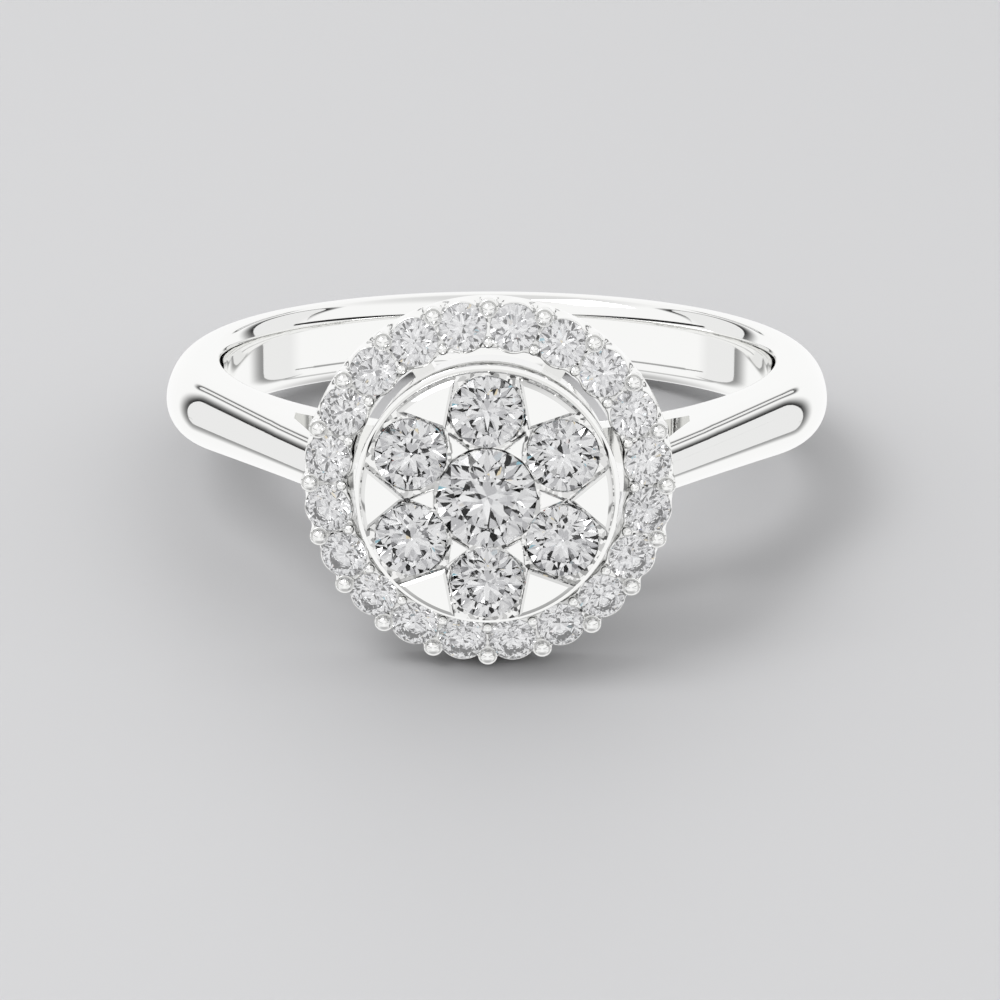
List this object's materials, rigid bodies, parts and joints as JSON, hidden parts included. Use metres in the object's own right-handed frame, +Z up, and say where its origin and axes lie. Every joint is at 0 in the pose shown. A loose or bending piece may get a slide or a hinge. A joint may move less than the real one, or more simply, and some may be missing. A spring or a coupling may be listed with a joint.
{
  "type": "cluster halo ring",
  "caption": "Finger ring lying on its side: domed band, cathedral shoulders, raised cluster of brilliants in a halo of small beaded brilliants.",
  "frame": {"origin": "middle of the ring's box, on the surface that it lies on", "axes": "+Z up from the surface, -Y towards the head, X across the band; the finger axis leans 10.27 degrees from +Z towards +Y"},
  "size_m": [0.0212, 0.0264, 0.0108],
  "materials": {
    "white_gold": "mirror polished, rhodium plated",
    "diamond": "clear faceted brilliant"
  },
  "bodies": {
    "root": {"ring_mount": "white_gold", "centre_stone": "diamond", "cluster_stone_1": "diamond", "cluster_stone_2": "diamond", "cluster_stone_3": "diamond", "cluster_stone_4": "diamond", "cluster_stone_5": "diamond", "cluster_stone_6": "diamond", "halo_stone_01": "diamond", "halo_stone_02": "diamond", "halo_stone_03": "diamond", "halo_stone_04": "diamond", "halo_stone_05": "diamond", "halo_stone_06": "diamond", "halo_stone_07": "diamond", "halo_stone_08": "diamond", "halo_stone_09": "diamond", "halo_stone_10": "diamond", "halo_stone_11": "diamond", "halo_stone_12": "diamond", "halo_stone_13": "diamond", "halo_stone_14": "diamond", "halo_stone_15": "diamond", "halo_stone_16": "diamond", "halo_stone_17": "diamond", "halo_stone_18": "diamond", "halo_stone_19": "diamond", "halo_stone_20": "diamond"}
  },
  "joints": []
}
